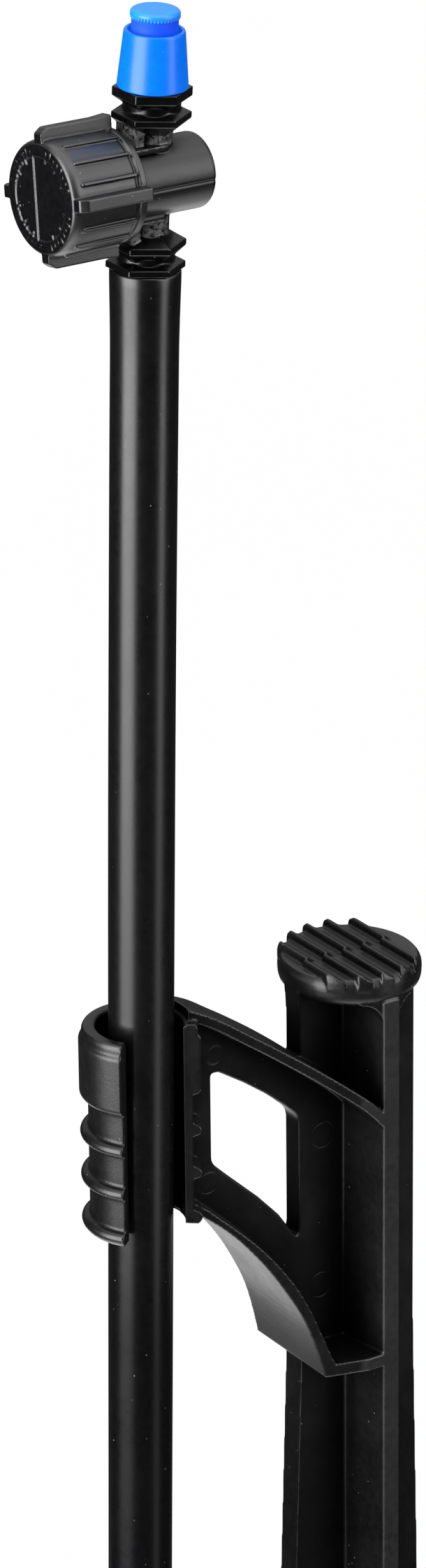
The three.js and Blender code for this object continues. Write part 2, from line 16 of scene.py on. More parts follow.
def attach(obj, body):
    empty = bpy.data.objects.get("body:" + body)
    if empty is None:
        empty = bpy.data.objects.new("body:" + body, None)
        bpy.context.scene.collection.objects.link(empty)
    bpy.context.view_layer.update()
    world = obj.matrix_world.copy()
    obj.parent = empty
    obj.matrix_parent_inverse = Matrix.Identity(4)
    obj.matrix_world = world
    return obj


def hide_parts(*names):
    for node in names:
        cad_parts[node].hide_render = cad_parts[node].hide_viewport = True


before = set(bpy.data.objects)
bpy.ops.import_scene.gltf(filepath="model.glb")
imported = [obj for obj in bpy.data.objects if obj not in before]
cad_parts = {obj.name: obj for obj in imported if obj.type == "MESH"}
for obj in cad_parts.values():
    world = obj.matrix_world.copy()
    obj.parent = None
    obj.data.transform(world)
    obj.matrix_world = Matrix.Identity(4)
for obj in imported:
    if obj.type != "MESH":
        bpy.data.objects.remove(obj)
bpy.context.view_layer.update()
FINE = 1.0  # multiplies the voxel sizes
SEGMENTS = 144
rad = math.radians

# ---------------------------------------------------------------- dimensions, mm
RISER_X = 34.672  # from the riser axis to the world's Z axis
RISER_TOP, RISER_BOTTOM = 148.2, -55.0
BOW, BOW_FROM, BOW_X, BOW_Y = 0.34, 60.0, 0.822, -0.57  # amount, start height, direction

# Valve: heights above the riser's top. Places along the barrel are measured towards -X.
BARREL_Z, BARREL_R, BARREL_BACK, BARREL_FRONT = 10.75, 4.45, -6.45, 12.0
BORE_R = 1.3
HEX_R, WAIST_R, NECK_R = 4.65, 3.45, 2.5
FLANGE_TOP, SPIGOT_LENGTH = 21.7, 9.5
NOZZLE_BASE = FLANGE_TOP + 0.05
STUD_R, STUD_TOP = 2.25, 26.1
ORING_PLACE = 3.3

KNOB_FACE, KNOB_BACK, KNOB_R = 15.2, 4.9, 6.8
EAR_R, EAR_WIDTH, EAR_PHASE = 8.15, 1.45, 9.5  # phase in degrees
KNOB_MARKS = 44

NOZZLE_RIM = 28.4
CAP_TOP, CAP_EDGE, CAP_R, CAP_TEETH = 30.82, 29.8, 2.88, 44

STAKE_X, LEAN, LEAN_Z = 31.3, 0.02, 38.6  # axis, sideways slope, height where it is true
TIP_Z = -130.0
WEB_HALF, WEB_THICK = 8.68, 3.5
FIN_Y, FIN_ROOT, FIN_TIP = 9.0, 2.1, 1.17  # reach, half thickness at root and at tip
PLATE_TOP, PLATE_R = 53.75, 8.95
FILLET_R = 2.6
ARM_THICK = 3.0
ARM_NOSE_Y = 2.536  # half width of the arm's flanges at the clip
CLIP_TOP, CLIP_BOTTOM, CLIP_IN, CLIP_WALL, CLIP_OUT = 52.3, 25.2, 5.3, 6.4, 7.45
CLIP_BAND, CLIP_RIBS = 43.1, (26.15, 32.15, 38.0)
CLIP_OPEN = 52.0  # half angle of the gap, degrees

TO_WORLD = Matrix.Scale(0.001, 4) @ Matrix.Translation((-RISER_X, 0, -TIP_Z))
# The valve sits on the bowed end of the riser, leaning a little
HEAD = (
    Matrix.Translation((BOW * BOW_X, BOW * BOW_Y, RISER_TOP))
    @ Matrix.Rotation(rad(2.33), 4, Vector((0.886, 0.464, 0)).normalized())
    @ Matrix.Rotation(rad(2.1), 4, "Z")
)
CROSS = Matrix.Translation((0, 0, BARREL_Z)) @ Matrix.Rotation(rad(-90), 4, "Y")  # Z to -X
STAKE_AXIS = Matrix.Translation((STAKE_X, 0, 0))
STAKE_LEAN = Matrix(((1, 0, -LEAN, LEAN * LEAN_Z), (0, 1, 0, 0), (0, 0, 1, 0), (0, 0, 0, 1)))


# ---------------------------------------------------------------- solids as (vertices, faces)
def solid(verts, faces, transform=None):
    """Place the vertices and turn the faces outwards."""
    verts = np.asarray(verts, float)
    if transform is not None:
        matrix = np.array(transform)
        verts = verts @ matrix[:3, :3].T + matrix[:3, 3]
    volume = 0.0
    for face in faces:
        p = verts[list(face)]
        for i in range(1, len(face) - 1):
            volume += np.dot(p[0], np.cross(p[i], p[i + 1]))
    if volume < 0:
        faces = [tuple(reversed(face)) for face in faces]
    return verts, faces


def lathe(profile, segments=SEGMENTS, transform=None, warp=None):
    """Turn (radius, z) points round Z; warp(radius, angle, z) gives a new radius."""
    closed = profile[0] == profile[-1]
    verts, rings = [], []
    for r, z in profile[:-1] if closed else profile:
        if r <= 1e-9:
            rings.append([len(verts)])
            verts.append((0.0, 0.0, z))
            continue
        rings.append(list(range(len(verts), len(verts) + segments)))
        for i in range(segments):
            angle = 2 * math.pi * i / segments
            radius = warp(r, angle, z) if warp else r
            verts.append((radius * math.cos(angle), radius * math.sin(angle), z))
    faces = []
    count = len(rings)
    for k in range(count if closed else count - 1):
        a, b = rings[k], rings[(k + 1) % count]
        if len(a) == 1 and len(b) == 1:
            continue
        for i in range(segments):
            j = (i + 1) % segments
            if len(a) == 1:
                faces.append((a[0], b[i], b[j]))
            elif len(b) == 1:
                faces.append((a[i], b[0], a[j]))
            else:
                faces.append((a[i], b[i], b[j], a[j]))
    return solid(verts, faces, transform)


def two_caps(n):
    """Faces between two outlines of n points."""
    sides = [(i, i + n, (i + 1) % n + n, (i + 1) % n) for i in range(n)]
    return [tuple(range(n)), tuple(range(2 * n - 1, n - 1, -1))] + sides


def prism(outline, start, end, axis="Z", transform=None):
    """Extrude an (x, y) outline along Z, or an (x, z) outline along Y."""
    verts = []
    for level in (start, end):
        verts += [(p, q, level) if axis == "Z" else (p, level, q) for p, q in outline]
    return solid(verts, two_caps(len(outline)), transform)


def box(x0, x1, y0, y1, z0, z1, transform=None):
    return prism([(x0, y0), (x1, y0), (x1, y1), (x0, y1)], z0, z1, "Z", transform)


def hexagon(r0, r1, z0, z1, transform=None):
    """Hexagonal frustum with one corner towards -Y."""
    angles = [rad(-90 + 60 * k) for k in range(6)]
    verts = [(r * math.cos(t), r * math.sin(t), z) for r, z in ((r0, z0), (r1, z1)) for t in angles]
    return solid(verts, two_caps(6), transform)


def rod(r, z0, z1, segments=64, transform=None):
    return lathe([(0, z0), (r, z0), (r, z1), (0, z1)], segments, transform)


def torus(radius, thick, z, transform=None, sides=20):
    turns = [2 * math.pi * i / sides for i in range(sides)]
    loop = [(radius + thick * math.cos(t), z + thick * math.sin(t)) for t in turns]
    return lathe(loop + [loop[0]], 96, transform)


def rounded(corners, steps=5):
    """Closed outline of (x, y, corner radius) with its corners eased."""
    result = []
    for i, (x, y, radius) in enumerate(corners):
        p = np.array((x, y), float)
        if not radius:
            result.append(tuple(p))
            continue
        before = np.array(corners[i - 1][:2]) - p
        after = np.array(corners[(i + 1) % len(corners)][:2]) - p
        length_b, length_a = np.linalg.norm(before), np.linalg.norm(after)
        before, after = before / length_b, after / length_a
        half = math.acos(max(-1, min(1, float(before @ after)))) / 2
        cut = min(radius / math.tan(half), length_b * 0.49, length_a * 0.49)
        start, end = p + before * cut, p + after * cut
        for k in range(steps + 1):
            t = k / steps
            result.append(tuple((1 - t) ** 2 * start + 2 * (1 - t) * t * p + t * t * end))
    return result


def curve(points, steps):
    """Catmull-Rom curve through the points."""
    p = [np.array(q, float) for q in points]
    result = []
    for k in range(steps + 1):
        t = k / steps * (len(p) - 1)
        i = min(int(t), len(p) - 2)
        w = t - i
        p0, p1, p2, p3 = p[max(i - 1, 0)], p[i], p[i + 1], p[min(i + 2, len(p) - 1)]
        v0, v1 = (p2 - p0) * 0.5, (p3 - p1) * 0.5
        cubic = (2 * p1 - 2 * p2 + v0 + v1) * w ** 3
        result.append(tuple(cubic + (-3 * p1 + 3 * p2 - 2 * v0 - v1) * w * w + v0 * w + p1))
    return result


def offset_line(line, distance):
    """The line's points moved sideways by the distance."""
    result = []
    for i, (x, z) in enumerate(line):
        (x0, z0), (x1, z1) = line[max(0, i - 1)], line[min(len(line) - 1, i + 1)]
        length = math.hypot(x1 - x0, z1 - z0)
        result.append((x + (z1 - z0) / length * distance, z - (x1 - x0) / length * distance))
    return result


def merge(parts):
    verts, faces, count = [], [], 0
    for part_verts, part_faces in parts:
        verts.append(part_verts)
        faces += [tuple(i + count for i in face) for face in part_faces]
        count += len(part_verts)
    return np.vstack(verts), faces


# ---------------------------------------------------------------- meshes and modifiers
work = bpy.data.collections.new("work")
bpy.context.scene.collection.children.link(work)


def mesh_of(part):
    mesh = bpy.data.meshes.new("m")
    mesh.from_pydata([tuple(p) for p in part[0]], [], part[1])
    mesh.update()
    return mesh


def work_object(part):
    obj = bpy.data.objects.new("work", mesh_of(part))
    work.objects.link(obj)
    return obj


def baked(obj):
    graph = bpy.context.evaluated_depsgraph_get()
    graph.update()
    return bpy.data.meshes.new_from_object(obj.evaluated_get(graph))


def remove(objects):
    for obj in objects:
        bpy.data.objects.remove(obj, do_unlink=True)


def boolean(target, tool, operation="DIFFERENCE"):
    target, tool = work_object(target), work_object(tool)
    mod = target.modifiers.new("boolean", "BOOLEAN")
    mod.operation, mod.object = operation, tool
    mod.solver = "MANIFOLD"
    mesh = baked(target)
    if not len(mesh.polygons):
        # the manifold solver gives nothing for a solid that isn't watertight
        mod.solver = "EXACT"
        mesh = baked(target)
    verts = np.empty(len(mesh.vertices) * 3)
    mesh.vertices.foreach_get("co", verts)
    remove((target, tool))
    return verts.reshape(-1, 3), [tuple(p.vertices) for p in mesh.polygons]


def voxel_remesh(obj, voxel):
    mod = obj.modifiers.new("remesh", "REMESH")
    mod.mode = "VOXEL"
    mod.voxel_size = voxel * FINE


def melt(parts, voxel, cuts=(), smooth=3, keep=0.3):
    """One closed skin round all the parts, less the cuts, with softened edges."""
    obj = work_object(merge(parts))
    tools = [work_object(cut) for cut in cuts]
    voxel_remesh(obj, voxel)
    for tool in tools:
        mod = obj.modifiers.new("cut", "BOOLEAN")
        mod.operation, mod.object, mod.solver = "DIFFERENCE", tool, "MANIFOLD"
    if tools:
        voxel_remesh(obj, voxel)
    mod = obj.modifiers.new("smooth", "SMOOTH")
    mod.factor, mod.iterations = 0.5, smooth
    obj.modifiers.new("decimate", "DECIMATE").ratio = keep
    mesh = baked(obj)
    remove([obj] + tools)
    return mesh


def piece(node, mesh, transform, body, material, sharp=None):
    """Finish a mesh as the visible stand-in for a CAD node; sharp is an angle in degrees."""
    mesh.transform(TO_WORLD @ transform)
    mesh.name = "vis_" + node
    obj = bpy.data.objects.new("vis_" + node, mesh)
    bpy.context.scene.collection.objects.link(obj)
    for polygon in mesh.polygons:
        polygon.use_smooth = True
    if sharp:
        mesh.set_sharp_from_angle(angle=rad(sharp))
    mesh.materials.clear()
    mesh.materials.append(material)
    mesh.update()
    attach(obj, body)
    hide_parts(node)


# ---------------------------------------------------------------- shader nodes
class Net:
    """Builds a node tree; every value may be a number or another node's socket."""

    def __init__(self, owner):
        owner.use_nodes = True
        self.tree = owner.node_tree
        self.tree.nodes.clear()

    def add(self, kind, inputs=(), **settings):
        node = self.tree.nodes.new(kind)
        for key, value in settings.items():
            setattr(node, key, value)
        for key, value in dict(inputs).items():
            self.put(node.inputs[key], value)
        return node

    def put(self, socket, value):
        if isinstance(value, bpy.types.NodeSocket):
            self.tree.links.new(value, socket)
        else:
            socket.default_value = value

    def math(self, operation, *values):
        inputs = dict(enumerate(values))
        return self.add("ShaderNodeMath", inputs, operation=operation).outputs[0]

    def plus(self, a, b):
        return self.math("ADD", a, b)

    def minus(self, a, b):
        return self.math("SUBTRACT", a, b)

    def times(self, a, b):
        return self.math("MULTIPLY", a, b)

    def ramp(self, value, low, high, to_low, to_high, kind="LINEAR"):
        inputs = {"Value": value, "From Min": low, "From Max": high,
                  "To Min": to_low, "To Max": to_high}
        node = self.add("ShaderNodeMapRange", inputs, interpolation_type=kind)
        return node.outputs["Result"]

    def step(self, value, low, high):
        """0 at low, 1 at high, smooth between."""
        return self.ramp(value, low, high, 0.0, 1.0, "SMOOTHSTEP")

    def fade(self, value, low, high):
        """1 at low, 0 at high, smooth between."""
        return self.minus(1.0, self.step(value, low, high))

    def window(self, value, rise_from, rise_to, fall_from, fall_to):
        return self.times(self.step(value, rise_from, rise_to), self.fade(value, fall_from, fall_to))

    def mix(self, factor, a, b):
        return self.add("ShaderNodeMix", {0: factor, 6: a, 7: b}, data_type="RGBA").outputs[2]

    def noise(self, vector, scale, detail=3.0, rough=0.55):
        inputs = {"Vector": vector, "Scale": scale, "Detail": detail, "Roughness": rough}
        return self.add("ShaderNodeTexNoise", inputs).outputs[0]

    def mapped(self, vector, **inputs):
        return self.add("ShaderNodeMapping", {"Vector": vector, **inputs}).outputs[0]

    def coords(self, kind="Object"):
        return self.add("ShaderNodeTexCoord").outputs[kind]

    def split(self, vector):
        return self.add("ShaderNodeSeparateXYZ", {0: vector}).outputs

    def normal(self):
        return self.split(self.add("ShaderNodeNewGeometry").outputs["Normal"])


# ---------------------------------------------------------------- materials
def plastic(name, base, light, rough, spec=0.5, grain=0.25, grain_scale=7.0, speck=0.5,
            speck_scale=1.1, vary=0.06, detail=None, fall=None, crevice=None, painted_glow=None):
    """Moulded plastic, mottled between two colours, with grain and dust specks.

    detail  function that adds to the surface
    fall    (low z, high z, level at the low end): painted shade, reflections die away downwards as the light falls off
    crevice (distance, power): painted shade, reflections die away in corners
    painted_glow (colour, strength): painted glow, a weak emission that stands in for light passing
    through the plastic
    """
    material = bpy.data.materials.new(name)
    net = Net(material)
    coords = net.coords()
    in_mm = net.mapped(coords, Scale=(1000, 1000, 1000))
    broad = net.noise(in_mm, scale=0.16)
    mid = net.noise(in_mm, scale=1.1, detail=4.0)
    fine = net.noise(in_mm, scale=grain_scale, rough=0.6)

    # sparse dust: a few cells of a point pattern, each a small dot
    cells = net.add("ShaderNodeTexVoronoi", {"Vector": in_mm, "Scale": speck_scale}, feature="F1")
    dot = net.fade(cells.outputs["Distance"], 0.035, 0.085)
    cell = net.add("ShaderNodeSeparateColor", {0: cells.outputs["Color"]})
    chosen = net.step(cell.outputs[0], 0.62, 0.95)
    dust = net.times(net.times(dot, chosen), speck)
    dust_colour = (0.42, 0.42, 0.42, 1) if max(base) < 0.1 else (0.35, 0.6, 1.0, 1)

    colour = net.mix(net.ramp(mid, 0.3, 0.75, 0.0, 1.0), (*base, 1), (*light, 1))
    roughness = net.plus(rough, net.times(net.minus(broad, 0.5), vary * 3))
    roughness = net.plus(roughness, net.times(net.minus(mid, 0.5), vary * 2))
    surface = SimpleNamespace(
        net=net, coords=coords, in_mm=in_mm, mid=mid, rough=roughness, level=spec,
        colour=net.mix(dust, colour, dust_colour), height=net.times(fine, grain))
    if detail:
        detail(surface)

    level = surface.level
    # painted shade: reflections weaken towards the bottom, standing in for the light falling off
    # there
    if fall:
        low, high, least = fall
        rise = net.step(net.split(coords)["Z"], low, high)
        level = net.times(net.plus(net.times(rise, 1.0 - least), least), level)
    # painted shade: ambient occlusion darkens the reflections in corners and creases
    if crevice:
        distance, power = crevice
        near = net.add("ShaderNodeAmbientOcclusion", {"Distance": distance}, samples=5)
        level = net.times(net.math("POWER", near.outputs["AO"], power), level)
    bump = net.add("ShaderNodeBump", {
        "Strength": 0.6, "Distance": 0.00006, "Height": surface.height})
    shader = net.add("ShaderNodeBsdfPrincipled", {
        "Base Color": surface.colour,
        "Roughness": net.plus(surface.rough, net.times(dust, 0.3)),
        "Specular IOR Level": level,
        "Coat Roughness": 0.2,
        "Normal": bump.outputs["Normal"],
    })
    # painted glow: emission that brightens the plastic as if light shone through it
    if painted_glow:
        tint, strength = painted_glow
        net.put(shader.inputs["Emission Color"], (*tint, 1))
        net.put(shader.inputs["Emission Strength"], strength)
    net.add("ShaderNodeOutputMaterial", {"Surface": shader.outputs[0]})
    return material


def ejector_rings(surface):
    """Faint round marks of the ejector pins on the front face of the arm's web."""
    net = surface.net
    x_here, y_here, z_here = net.split(surface.coords)
    mask = net.window(y_here, -0.0018, -0.0017, -0.0013, -0.0012)
    # x, z, radius in mm
    for x, z, radius in ((9.88, 46.0, 1.2), (8.83, 28.8, 1.4), (25.95, 30.6, 1.7), (25.67, 9.7, 1.7)):
        dx = net.minus(x_here, (x - RISER_X - LEAN * (z - LEAN_Z)) * 0.001)
        dz = net.minus(z_here, (z - TIP_Z) * 0.001)
        distance = net.math("SQRT", net.plus(net.times(dx, dx), net.times(dz, dz)))
        from_rim = net.math("ABSOLUTE", net.minus(distance, radius * 0.001))
        groove = net.fade(from_rim, 0.00005, 0.00014)
        surface.height = net.minus(surface.height, net.times(net.times(groove, mask), 0.7))


def stake_marks_and_edge_highlight(surface):
    """Ejector marks, and a painted highlight: paler front edges on the fin and the arm's flanges,
    where the light falls.
    """
    ejector_rings(surface)
    net = surface.net
    # painted highlight: the front faces near y = -9 mm are painted paler as if lit
    edge = net.fade(net.split(surface.coords)["Y"], -0.0089, -0.0086)
    amount = net.times(edge, net.ramp(surface.mid, 0.3, 0.7, 0.55, 1.0))
    surface.colour = net.mix(amount, surface.colour, (0.018, 0.018, 0.019, 1))


def tube_detail(surface):
    """Fine lines and scratches along the tube."""
    net = surface.net
    stretched = net.mapped(surface.coords, Scale=(1600, 1600, 26))
    lines = net.noise(stretched, scale=0.8, detail=2.0, rough=0.5)
    surface.height = net.plus(surface.height, net.times(lines, 0.035))
    stretched = net.mapped(surface.coords, Scale=(900, 900, 90))
    scratch = net.step(net.noise(stretched, scale=1.0, detail=5.0, rough=0.7), 0.68, 0.76)
    surface.rough = net.plus(surface.rough, net.times(scratch, 0.12))


def valve_detail(surface):
    """Painted highlight, mottled, on the pads at the front of both necks where they face the light,
    and smoother ends above and below.
    """
    net = surface.net
    _, y, z = net.split(surface.coords)
    normal_x, normal_y, _ = net.normal()
    band = net.plus(*[net.window(z, low - 0.0002, low, high, high + 0.0002)
                      for low, high in ((0.2934, 0.2956), (0.2818, 0.2846))])
    front = net.step(y, -0.0016, -0.0022)
    painted_light_facing = net.math("MAXIMUM", net.step(normal_y, -0.6, -0.9), net.step(normal_x, -0.7, -0.9))
    ends = net.step(net.math("ABSOLUTE", net.minus(z, 0.2889)), 0.0047, 0.0054)
    blotch = net.step(net.noise(surface.in_mm, scale=1.6, detail=5.0, rough=0.7), 0.36, 0.6)
    # painted highlight: faces towards -Y or -X on the necks are painted a paler grey where the light
    # falls on them
    place = net.times(band, net.math("MAXIMUM", front, net.step(normal_x, -0.7, -0.9)))
    pad = net.times(place, net.times(painted_light_facing, blotch))
    surface.colour = net.mix(net.times(pad, 0.9), surface.colour, (0.14, 0.14, 0.142, 1))
    surface.rough = net.minus(surface.rough, net.times(ends, 0.15))


def knob_detail(surface):
    """The end face, towards -X, is smoother and reflects less."""
    net = surface.net
    face = net.step(net.times(net.normal()["X"], -1.0), 0.93, 0.985)
    surface.rough = net.minus(surface.rough, net.times(face, 0.17))
    surface.level = net.times(net.minus(1.0, net.times(face, 0.35)), surface.level)


def cap_recess_shade(surface):
    """The part below the grip sits in the recess; painted shade gives it a deeper blue there."""
    net = surface.net
    grip_z = 0.308
    # painted shade: deeper blue and rougher below the grip, where the recess lies in shadow
    low = net.fade(net.split(surface.coords)["Z"], grip_z - 0.00012, grip_z + 0.00002)
    surface.colour = net.mix(low, surface.colour, (0.0, 0.05, 0.62, 1))
    surface.rough = net.plus(surface.rough, net.times(low, 0.25))


MAT_STAKE = plastic(
    "stake_black", base=(0.0010, 0.0010, 0.0012), light=(0.0022, 0.0022, 0.0025), rough=0.35,
    grain=0.35, grain_scale=3.2, speck=0.35, speck_scale=0.8, detail=stake_marks_and_edge_highlight,
    crevice=(0.006, 2.0), fall=(0.112, 0.130, 0.55))
MAT_TUBE = plastic(
    "tube_black", base=(0.0010, 0.0010, 0.0013), light=(0.0018, 0.0018, 0.0022), rough=0.285,
    grain=0.04, grain_scale=5.0, speck=0.4, speck_scale=0.75, vary=0.04, detail=tube_detail,
    fall=(0.136, 0.168, 0.42))
MAT_VALVE = plastic(
    "valve_black", base=(0.0006, 0.0006, 0.0007), light=(0.0014, 0.0014, 0.0016), rough=0.36,
    grain=0.28, grain_scale=2.6, speck=0.35, speck_scale=0.9, detail=valve_detail,
    crevice=(0.0025, 0.8))
MAT_KNOB = plastic(
    "knob_black", base=(0.0013, 0.0013, 0.0016), light=(0.003, 0.003, 0.0035), rough=0.38,
    spec=0.74, grain=0.30, grain_scale=5.0, speck=0.8, speck_scale=1.5, detail=knob_detail,
    crevice=(0.0007, 1.8))
MAT_PLUG = plastic("plug_grey", base=(0.03, 0.03, 0.032), light=(0.05, 0.05, 0.052), rough=0.4)
MAT_RUBBER = plastic(
    "rubber_black", base=(0.02, 0.02, 0.02), light=(0.03, 0.03, 0.03), rough=0.6, grain=0.4)
# both blue plastics carry a painted glow, a weak emission standing in for light passing through them
MAT_CAP = plastic(
    "cap_blue", base=(0.004, 0.155, 0.60), light=(0.01, 0.19, 0.68), rough=0.34, spec=0.42,
    grain=0.12, grain_scale=2.4, speck=0.25, speck_scale=1.2, vary=0.05, detail=cap_recess_shade,
    painted_glow=((0.0, 0.10, 0.9), 0.2))
MAT_NOZZLE = plastic(
    "nozzle_blue", base=(0.0, 0.082, 0.55), light=(0.0, 0.098, 0.60), rough=0.27, spec=0.31,
    grain=0.08, grain_scale=2.0, speck=0.2, speck_scale=1.0, vary=0.04,
    painted_glow=((0.0, 0.26, 0.95), 0.22))


# ---------------------------------------------------------------- riser
def riser_tube():
    levels = [RISER_BOTTOM + 0.3] + list(np.linspace(RISER_BOTTOM + 1, RISER_TOP - 11, 40))
    # radius, distance below the top: the outer wall swells towards the mouth
    mouth = [(4.01, 9), (4.06, 6), (4.12, 3.4), (4.17, 1.4), (4.175, 0.35), (4.12, 0.12),
             (3.98, 0.02), (3.8, 0), (2.83, 0), (2.81, 0.1), (2.8, 6)]
    profile = [(3.75, RISER_BOTTOM), (3.93, RISER_BOTTOM + 0.08)] + [(4.0, z) for z in levels]
    profile += [(r, RISER_TOP - depth) for r, depth in mouth]
    profile += [(2.8, z) for z in reversed(levels)] + [(2.8, RISER_BOTTOM)]
    verts, faces = lathe(profile + [profile[0]])
    # the mouth is cut square to the valve that sits in it, which leans a little
    tilt = np.clip((verts[:, 2] - (RISER_TOP - 6)) / 6, 0, 1)
    verts[:, 2] += tilt * (-0.0189 * verts[:, 0] + 0.0360 * verts[:, 1])
    # slight waver of the radius along the tube
    verts[:, :2] *= (1 + 0.0012 * np.sin(verts[:, 2] * 0.11)[:, None])
    bend = np.clip((verts[:, 2] - BOW_FROM) / (RISER_TOP - BOW_FROM), 0, None)
    verts[:, 0] += BOW * BOW_X * bend * bend
    verts[:, 1] += BOW * BOW_Y * bend * bend
    piece("riser_tube", mesh_of((verts, faces)), Matrix(), "riser",
          MAT_TUBE, 50)


def inlet_barb():
    # radius, height above the tube's lower end, corner radius
    outline = [
        (1.0, -12.6, 0.05), (1.45, -12.6, 0.15), (1.95, -10.9, 0.2), (2.1, -10.6, 0.08),
        (2.1, -10.3, 0.08), (1.6, -10.3, 0.12), (1.6, -8.4, 0.12), (2.1, -6.9, 0.08),
        (2.1, -6.6, 0.08), (1.6, -6.6, 0.12), (1.6, -1.6, 0.25), (4.3, -1.6, 0.1),
        (4.45, -1.4, 0.12), (4.45, -0.45, 0.12), (4.3, -0.3, 0.12), (2.55, -0.3, 0.1),
        (2.55, 2.6, 0), (2.72, 2.7, 0), (2.72, 3.1, 0), (2.5, 4.4, 0.2),
        (2.55, 6.0, 0), (2.72, 6.1, 0), (2.72, 6.5, 0), (2.2, 9.0, 0.3), (1.0, 9.0, 0.1),
    ]
    profile = rounded([(r, RISER_BOTTOM + z, corner) for r, z, corner in outline], 3)
    piece("inlet_barb", mesh_of(lathe(profile + [profile[0]])), Matrix(), "riser",
          MAT_VALVE, 50)


# ---------------------------------------------------------------- valve
def neck_parts(at, hex_end, waist, waist_end, flare_end, rim_end, cone_end):
    """Two hexagons with a round waist between, and the plates that meet the barrel."""
    underside = BARREL_Z - BARREL_R
    shelf = rounded([(-4.3, -2.85, 0), (0.35, -2.85, 0.4), (0.95, -2.3, 0.3),
                     (0.95, 2.3, 0.3), (0.35, 2.85, 0.4), (-4.3, 2.85, 0)])
    pad = rounded([(-0.75, -2.62, 0.25), (0.85, -2.5, 0.25), (0.85, 2.5, 0.25),
                   (-0.75, 2.62, 0.25)])
    return [
        hexagon(HEX_R, HEX_R, 0.05, hex_end, at),
        hexagon(HEX_R, WAIST_R, hex_end - 0.01, waist, at),
        rod(WAIST_R - 0.1, waist - 0.3, waist_end + 0.3, 96, at),
        hexagon(WAIST_R, HEX_R, waist_end, flare_end + 0.01, at),
        hexagon(HEX_R, HEX_R, flare_end, rim_end, at),
        hexagon(HEX_R, 2.6, rim_end - 0.01, cone_end, at),
        rod(NECK_R, 0.1, cone_end + 1, 64, at),
        prism(shelf, underside + 0.02, underside + 0.72, "Z", at),
        box(-3.5, -2.3, -2.0, 2.0, 3.3, 7.5, at),
        prism(pad, underside - 1.5, underside + 0.4, "Z", at),
        box(-2.6, 2.2, -1.4, 1.4, 3.5, 7.4, at),
    ]


def seam(r, angle, z):
    """Shallow groove along the mould's parting line on the barrel."""
    away = abs((angle + math.pi) % (2 * math.pi) - math.pi + math.pi / 2)
    away = min(away, abs(away - math.pi))
    return r - 0.13 * math.exp(-(away * r / 0.16) ** 2) if r > 4.2 else r


def valve_body():
    spigot = [(0, -9.5), (1.95, -9.5), (2.68, -6.9), (2.68, -6.6), (2.4, -6.5), (2.4, -4.6),
              (NECK_R, -4.5), (NECK_R, 1), (0, 1)]
    parts = [lathe(spigot, 64)]
    parts += neck_parts(Matrix(), 0.8, 1.35, 1.65, 2.77, 3.45, 4.6)
    upside_down = Matrix.Translation((0, 0, NOZZLE_BASE)) @ Matrix.Scale(-1, 4, (0, 0, 1))
    parts += neck_parts(upside_down, 1.12, 1.9, 2.5, 3.05, 3.75, 5.4)
    parts.append(rod(NECK_R, 3.6, FLANGE_TOP - 3.6))
    parts.append(rod(STUD_R, FLANGE_TOP - 0.5, STUD_TOP))
    back = BARREL_BACK
    barrel = [(0, back), (4.0, back), (4.25, back + 0.06), (4.4, back + 0.2), (BARREL_R, back + 0.5)]
    barrel += [(BARREL_R, place) for place in np.linspace(back + 1.4, BARREL_FRONT, 24)]
    parts.append(lathe(barrel + [(0, BARREL_FRONT)], 360, CROSS, seam))
    cuts = [rod(2.6, -5.0, 20, 96, CROSS), rod(BORE_R, -SPIGOT_LENGTH - 1, STUD_TOP + 1, 48)]
    piece("valve_body", melt(parts, 0.085, cuts, smooth=3, keep=0.32), HEAD, "valve",
          MAT_VALVE)


def valve_plug():
    """Grooved plug with a square key at its -X end and a hole across it, and its O-rings."""
    # radius, place along the barrel, corner radius
    outline = [
        (0, -4.8, 0), (2.3, -4.8, 0.08), (2.5, -4.6, 0.08), (2.5, -3.75, 0.06),
        (1.84, -3.75, 0.06), (1.84, -2.85, 0.06), (2.5, -2.85, 0.06), (2.5, 2.85, 0.06),
        (1.84, 2.85, 0.06), (1.84, 3.75, 0.06), (2.5, 3.75, 0.06), (2.5, 11.4, 0.08),
        (2.3, 11.6, 0.08), (0, 11.6, 0),
    ]
    plug = lathe(rounded(outline, 2), 96, CROSS)
    plug = boolean(plug, box(-13.5, -11, -1.0, 1.0, BARREL_Z - 1.0, BARREL_Z + 1.0), "UNION")
    plug = boolean(plug, rod(BORE_R, BARREL_Z - 5, BARREL_Z + 5, 48))
    piece("valve_plug", mesh_of(plug), HEAD, "knob", MAT_PLUG, 35)
    for node, place in (("plug_oring_rear", -ORING_PLACE), ("plug_oring_front", ORING_PLACE)):
        piece(node, mesh_of(torus(2.22, 0.32, place, CROSS)), HEAD, "knob",
              MAT_RUBBER)


# ---------------------------------------------------------------- knob
def radial(points, side0, side1, angle):
    """(x, radius) outline given thickness and turned by an angle from -Y towards +Z."""
    turn = Matrix.Translation((0, 0, BARREL_Z)) @ Matrix.Rotation(-rad(angle), 4, "X")
    return prism([(x, -r) for x, r in points], side0, side1, "Z", turn)


